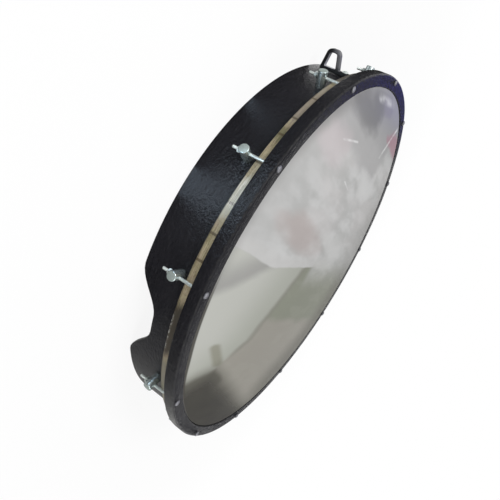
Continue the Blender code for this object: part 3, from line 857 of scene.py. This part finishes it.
def screw_mesh(name, radius, length, head_radius, head_height, thread):
    """Domed screw on Z with its seat at the origin; thread is how far its helix runs up from the tip."""
    dome = [(share * head_radius, head_height * (1 - DOME_DROP * share**3)) for share in DOME_RINGS]
    rows = dome + [(head_radius, 0.0), (radius, 0.0), (radius, thread - length)]
    count = round((thread - THREAD_TIP) / THREAD_PITCH * THREAD_STEPS)
    helix = [thread - length - (thread - THREAD_TIP) * step / count for step in range(1, count + 1)]

    def section(angle):
        points = list(rows)
        for height in helix:
            phase = (height / THREAD_PITCH + angle / (2 * math.pi)) % 1.0
            points.append((radius - THREAD_DEPTH * abs(2 * phase - 1), height))
        return points + [(radius - 2 * THREAD_DEPTH, -length), (0.0, -length)]

    return turned(name, section, SHANK_STEPS, False)


def make_bolts(mat, head_mat):
    """Tension bolts, each seated on the bowed hoop, with their heads in a metal of their own."""
    mesh = screw_mesh("bolt", BOLT_RADIUS, BOLT_LENGTH, HEAD_RADIUS, HEAD_HEIGHT, THREAD_LENGTH)
    for face in mesh.polygons:
        face.material_index = 1 if face.center.z > -1e-5 else 0
    for number in TUNERS:
        place = around(tuner(number)[0], BOLT_RING, BOLT_SEAT + bow(tuner(number)[0]))
        name = f"{number:02d}"
        nodes = ["tension_bolt_" + name]
        add_piece("bolt_" + name, mesh, [mat, head_mat], "tension_hoop", nodes, place)


def make_posts(mat, end_mat):
    """Turned posts with an eased satin end, cross drilled for the bolt and bored from the base."""
    corners = [
        (0.0, POST_LENGTH, 0.0),
        (POST_RADIUS, POST_LENGTH, POST_EDGE),
        (POST_RADIUS, 0.0, POST_FOOT_EDGE),
        (0.0, 0.0, 0.0),
    ]
    profile = [tuple(point) for point in filleted(corners, 4)]
    mesh = turned("post", profile, POST_STEPS, False)
    across = Matrix.Translation((0.0, 0.0, BOLT_RING - POST_BASE)) @ Matrix.Rotation(math.pi / 2, 4, "Y")
    holes = cylinders([across], BOLT_HOLE, 4 * POST_RADIUS)
    bore = cylinders([Matrix.Identity(4)], SCREW_RADIUS + SEAT, 2 * POST_BORE)
    mesh = drilled(drilled(mesh, holes, "post"), bore, "post")
    mesh.materials.clear()
    for face in mesh.polygons:
        face.material_index = 1 if face.normal.z > 0.9 and face.center.z > POST_LENGTH - POST_EDGE else 0
    for number in TUNERS:
        name = f"{number:02d}"
        place = outward(tuner(number)[0], POST_BASE, POST_HEIGHT)
        add_piece("post_" + name, mesh, [mat, end_mat], "frame", ["lug_post_" + name], place)


def nut_mesh(name):
    """Hexagon nut hanging below the origin on Z, its corners chamfered on both faces."""

    def section(angle):
        side = NUT_FLATS / 2 / math.cos(math.remainder(angle, math.pi / 3))
        drop = (side - NUT_FACE) * math.tan(NUT_CHAMFER)
        return [
            (BOLT_HOLE, 0.0),
            (NUT_FACE, 0.0),
            (side, -drop),
            (side, drop - NUT_HEIGHT),
            (NUT_FACE, -NUT_HEIGHT),
            (BOLT_HOLE, -NUT_HEIGHT),
        ]

    return turned(name, section, POST_STEPS)


def make_nuts(mat):
    """One nut under each post, on a body of its own."""
    mesh = nut_mesh("nut")
    for number in TUNERS:
        name = f"{number:02d}"
        place = around(tuner(number)[0], BOLT_RING, NUT_TOP)
        nodes = ["tension_nut_" + name]
        add_piece("hex_nut_" + name, mesh, [mat], "nut_" + name, nodes, place)


def cross_screw(name, radius, length, head_radius, head_height):
    """Screw with a cross recess, cut into its head one bar after the other."""
    mesh = screw_mesh(name, radius, length, head_radius, head_height, SCREW_THREAD)
    long, wide = RECESS_LENGTH * head_radius, RECESS_WIDTH * head_radius
    bar = Matrix.Diagonal((long, wide, RECESS_HEIGHT * head_height, 1.0))
    for turn in (0.0, math.pi / 2):
        place = Matrix.Translation((0.0, 0.0, head_height)) @ Matrix.Rotation(turn, 4, "Z")
        cutter = bmesh.new()
        bmesh.ops.create_cube(cutter, size=1.0, matrix=place @ bar)
        mesh = drilled(mesh, cutter, name)
    return mesh


def make_screws(mat):
    """Screws from inside the shell into the posts."""
    seat = SHELL_IN - SEAT
    length = POST_BASE + POST_BORE - SCREW_TIP_GAP - seat
    mesh = cross_screw("post screw", SCREW_RADIUS, length, SCREW_HEAD_RADIUS, SCREW_HEAD_HEIGHT)
    turn = Matrix.Rotation(math.pi, 4, "X")
    for number in TUNERS:
        name = f"{number:02d}"
        place = outward(tuner(number)[0], seat, POST_HEIGHT) @ turn
        add_piece("post_screw_" + name, mesh, [mat], "frame", ["lug_screw_" + name], place)


def inset(corners, distance):
    """Corners of a convex anticlockwise outline, moved evenly inwards."""
    moved = []
    for index, corner in enumerate(corners):
        before = (Vector(corner) - Vector(corners[index - 1])).normalized()
        after = (Vector(corners[(index + 1) % len(corners)]) - Vector(corner)).normalized()
        inward = Vector((-before.y - after.y, before.x + after.x))
        moved.append(Vector(corner) + inward * (distance / (1 + before.dot(after))))
    return moved


def strap_mesh():
    """Strap outline in XY with its hole, thickened along Z with eased edges."""
    thick, edge = LOOP_THICKNESS, LOOP_CORNER
    arch = [
        (LOOP_REAR, 0.0),
        (LOOP_FRONT, 0.0),
        (LOOP_FRONT - LOOP_LEAN, LOOP_HEIGHT),
        (LOOP_REAR + LOOP_LEAN, LOOP_HEIGHT),
    ]
    outer = filleted([
        (LOOP_REAR, 0.0, edge),
        (LOOP_END, 0.0, edge),
        (LOOP_END, thick, edge),
        (LOOP_FRONT - LOOP_LEAN * thick / LOOP_HEIGHT, thick, edge),
        (*arch[2], LOOP_BEND),
        (*arch[3], LOOP_BEND),
    ], LOOP_STEPS)
    bends = (edge, edge, LOOP_BEND - thick, LOOP_BEND - thick)
    inner = filleted([(*corner, bend) for corner, bend in zip(inset(arch, thick), bends)], LOOP_STEPS)
    curve = bpy.data.curves.new("outline", "CURVE")
    curve.dimensions = "2D"
    curve.fill_mode = "BOTH"
    curve.extrude = LOOP_STRAP / 2 - LOOP_EASE
    curve.bevel_depth = LOOP_EASE
    curve.bevel_resolution = 2
    curve.offset = -LOOP_EASE
    for outline in (outer, inner):
        spline = curve.splines.new("POLY")
        spline.points.add(len(outline) - 1)
        for point, (x, y) in zip(spline.points, outline):
            point.co = (x, y, 0.0, 1.0)
        spline.use_cyclic_u = True
    obj = bpy.data.objects.new("outline", curve)
    bpy.context.scene.collection.objects.link(obj)
    bpy.context.view_layer.update()
    mesh = bpy.data.meshes.new_from_object(obj.evaluated_get(bpy.context.evaluated_depsgraph_get()))
    bpy.data.objects.remove(obj, do_unlink=True)
    shape = bmesh.new()
    shape.from_mesh(mesh)
    return finished(shape, "strap")


def make_loop(strap, lining_and_highlight, metal):
    """Hanging loop, pale inside its eye, partly as painted highlight, with its screw and nut."""
    hole = Matrix.Translation((LOOP_SCREW_HEIGHT, 0.0, 0.0)) @ Matrix.Rotation(math.pi / 2, 4, "X")
    mesh = drilled(strap_mesh(), cylinders([hole], BOLT_HOLE, 4 * LOOP_THICKNESS), "strap")
    mesh.materials.clear()
    eye = Vector(((LOOP_REAR + LOOP_FRONT) / 2, LOOP_HEIGHT / 2, 0.0))
    for face in mesh.polygons:
        inside = face.normal.dot(eye - face.center) > 0.0 and abs(face.normal.z) < 0.5
        in_eye = face.center.y > LOOP_THICKNESS / 2 and face.center.x < LOOP_FRONT
        face.material_index = 1 if inside and in_eye else 0
    axes = Matrix(((0, 1, 0, 0), (0, 0, 1, 0), (1, 0, 0, 0), (0, 0, 0, 1)))
    base = around(LOOP_ANGLE, SHELL_OUT + SEAT, 0.0) @ axes
    add_piece("strap_loop", mesh, [strap, lining_and_highlight], "frame", ["hanging_loop"], base)
    seat = SHELL_OUT + 2 * SEAT + LOOP_THICKNESS
    nut_seat = SHELL_IN - SEAT
    length = seat - nut_seat + LOOP_SCREW_TAIL
    screw = cross_screw("strap screw", BOLT_RADIUS, length, HEAD_RADIUS, HEAD_HEIGHT)
    place = outward(LOOP_ANGLE, seat, LOOP_SCREW_HEIGHT)
    add_piece("strap_screw", screw, [metal], "frame", ["loop_screw"], place)
    place = outward(LOOP_ANGLE, nut_seat, LOOP_SCREW_HEIGHT)
    add_piece("strap_nut", nut_mesh("strap nut"), [metal], "frame", ["loop_nut"], place)


def add_camera():
    """Camera of the photograph, squared up from its solved axes."""
    data = bpy.data.cameras.new("camera")
    data.sensor_width = SENSOR
    data.lens = FOCAL_PIXELS * SENSOR / IMAGE_PIXELS
    data.clip_start = 0.01
    obj = bpy.data.objects.new("camera", data)
    bpy.context.scene.collection.objects.link(obj)
    right = CAMERA_RIGHT.normalized()
    up = -(CAMERA_DOWN - right * CAMERA_DOWN.dot(right)).normalized()
    back = right.cross(up)
    turn = Matrix((right, up, back)).transposed().to_4x4()
    obj.matrix_world = Matrix.Translation(CAMERA_AT) @ turn
    bpy.context.scene.camera = obj


def add_lamp(name, at, side, power):
    """Square lamp that looks at the drum and that the camera doesn't see."""
    data = bpy.data.lights.new(name, "AREA")
    data.shape = "RECTANGLE"
    data.size = side
    data.size_y = side
    data.energy = power
    obj = bpy.data.objects.new(name, data)
    bpy.context.scene.collection.objects.link(obj)
    way = Vector(AIM) - Vector(at)
    obj.matrix_world = Matrix.Translation(at) @ way.to_track_quat("-Z", "Y").to_matrix().to_4x4()
    obj.visible_camera = False


def seen_rays(tree):
    """1 for rays that look at the background: from the camera, a gloss or through a film."""
    path = tree.nodes.new("ShaderNodeLightPath")
    first = tree.nodes.new("ShaderNodeMath")
    first.operation = "MAXIMUM"
    second = tree.nodes.new("ShaderNodeMath")
    second.operation = "MAXIMUM"
    tree.links.new(path.outputs["Is Camera Ray"], first.inputs[0])
    tree.links.new(path.outputs["Is Glossy Ray"], first.inputs[1])
    tree.links.new(first.outputs[0], second.inputs[0])
    tree.links.new(path.outputs["Is Transmission Ray"], second.inputs[1])
    return second.outputs[0]


def add_world():
    """White surroundings that light the drum less than they show."""
    world = bpy.data.worlds.new("studio")
    bpy.context.scene.world = world
    world.use_nodes = True
    tree = world.node_tree
    strength = tree.nodes.new("ShaderNodeMapRange")
    tree.links.new(seen_rays(tree), strength.inputs["Value"])
    strength.inputs["To Min"].default_value = 0.4
    strength.inputs["To Max"].default_value = 1.0
    back = tree.nodes["Background"]
    back.inputs["Color"].default_value = (1.0, 1.0, 1.0, 1.0)
    tree.links.new(strength.outputs[0], back.inputs["Strength"])


def stage_object(name, shape, mat):
    """Object of a bmesh that belongs to the stage and not to the drum."""
    mesh = bpy.data.meshes.new(name)
    shape.to_mesh(mesh)
    shape.free()
    mesh.materials.append(mat)
    obj = bpy.data.objects.new(name, mesh)
    bpy.context.scene.collection.objects.link(obj)
    return obj


def add_floor():
    """White floor that keeps a soft shadow near the drum and runs into the white backdrop."""
    m = Maker("floor")
    m.tree.nodes.remove(m.shader)
    x, y, _ = m.axes()
    white = m.span(m.distance(x, y), 0.3, 0.8, 0.9, 1.0)
    matte = m.node("BsdfDiffuse", {"Color": (0.86, 0.86, 0.86, 1.0)})
    glow = m.node("Emission", {"Color": (1.0, 1.0, 1.0, 1.0), "Strength": 1.0})
    share = m.times(seen_rays(m.tree), white)
    blend = m.node("MixShader", {0: share, 1: matte.outputs[0], 2: glow.outputs[0]})
    m.put(m.tree.nodes["Material Output"].inputs["Surface"], blend.outputs[0])
    shape = bmesh.new()
    place = Matrix.Translation((0.0, 0.0, FLOOR_AT))
    bmesh.ops.create_circle(shape, cap_ends=True, segments=96, radius=FLOOR_REACH, matrix=place)
    stage_object("floor", shape, m.mat)


def add_flag():
    """Card behind the drum for the black hoop to mirror: dark, grey at its foot and blue in a corner."""
    m = Maker("flag")
    x, _, z = m.axes()
    side = m.span(x, -0.57, -0.45, 1.0, 0.0)
    foot = m.times(m.span(z, 0.25, 0.34, 1.0, 0.0), m.span(side, 0.0, 1.0, 1.0, 0.0))
    light = m.mix(foot, (0.08, 0.08, 0.092, 1.0), (0.32, 0.32, 0.32, 1.0))
    light = m.mix(m.times(side, m.span(z, 0.42, 0.34)), light, (0.13, 0.12, 0.62, 1.0))
    m.set(Base_Color=(0.02, 0.02, 0.022, 1.0), Roughness=0.9, Emission_Color=light, Emission_Strength=1.0)
    shape = bmesh.new()
    for (left, low), (right, high) in FLAG_PANELS:
        corners = ((left, low), (right, low), (right, high), (left, high))
        shape.faces.new([shape.verts.new((x, FLAG_AT, z)) for x, z in corners])
    obj = stage_object("flag", shape, m.mat)
    obj.visible_camera = False
    obj.visible_diffuse = False
    obj.visible_shadow = False


def add_glossy_card(name, shape, strength, colour):
    """Glowing card that shows only as a reflection in gloss."""
    m = Maker(name)
    m.tree.nodes.remove(m.shader)
    glow = m.node("Emission", {"Color": colour, "Strength": strength})
    m.put(m.tree.nodes["Material Output"].inputs["Surface"], glow.outputs[0])
    obj = stage_object(name, shape, m.mat)
    obj.visible_camera = False
    obj.visible_diffuse = False
    obj.visible_shadow = False
    obj.visible_transmission = False


def add_glow_card(name, outline, strength):
    """Small card on the floor for a highlight in the black sides."""
    shape = bmesh.new()
    shape.faces.new([shape.verts.new((x, y, CARD_AT)) for x, y in outline])
    add_glossy_card(name, shape, strength, CARD_GLOW)


def add_apron(name, inner, outer, start, end, strength):
    """Sector of a ring on the floor, mostly dim, for the black sides to mirror."""
    shape = bmesh.new()
    rows = []
    for step in range(APRON_STEPS + 1):
        angle = math.radians(start + (end - start) * step / APRON_STEPS)
        way = Vector((math.cos(angle), math.sin(angle), 0.0))
        rows.append([shape.verts.new(way * r + Vector((0.0, 0.0, APRON_AT))) for r in (inner, outer)])
    for before, after in zip(rows, rows[1:]):
        shape.faces.new((before[0], before[1], after[1], after[0]))
    add_glossy_card(name, shape, strength, APRON_GLOW)


shell_paint = paint_material("shell paint", 1.0, 0.2, shell_edges)
hoop_paint = paint_material("hoop paint", 0.8, 0.13, hoop_edges)
film = film_material()
wood = wood_material()
bright = metal_material("bright metal", (0.76, 0.82, 0.79, 1.0), (0.60, 0.66, 0.64, 1.0), 0.2, 0.34, 0.45)
head_metal = metal_material(
    "head metal", (0.31, 0.31, 0.335, 1.0), (0.21, 0.21, 0.23, 1.0), 0.3, 0.45, 0.5, HEAD_DARK_RIM
)
post_metal = metal_material("post metal", (0.56, 0.64, 0.64, 1.0), (0.40, 0.46, 0.47, 1.0), 0.14, 0.28, 0.78)
end_metal = metal_material("end metal", (0.39, 0.45, 0.425, 1.0), (0.31, 0.36, 0.34, 1.0), 0.3, 0.45, 0.25)
strap = strap_material()
lining_and_highlight = lining_and_highlight_material()

make_shell(shell_paint)
make_film(film)
make_strip(wood)
make_hoop(hoop_paint)
make_bolts(bright, head_metal)
make_posts(post_metal, end_metal)
make_nuts(bright)
make_screws(bright)
make_loop(strap, lining_and_highlight, bright)

add_camera()
add_world()
add_floor()
add_flag()
for apron in APRONS:
    add_apron(*apron)
for card in CARDS:
    add_glow_card(*card)
for lamp in LAMPS:
    add_lamp(*lamp)

bpy.context.scene.view_settings.view_transform = "Standard"
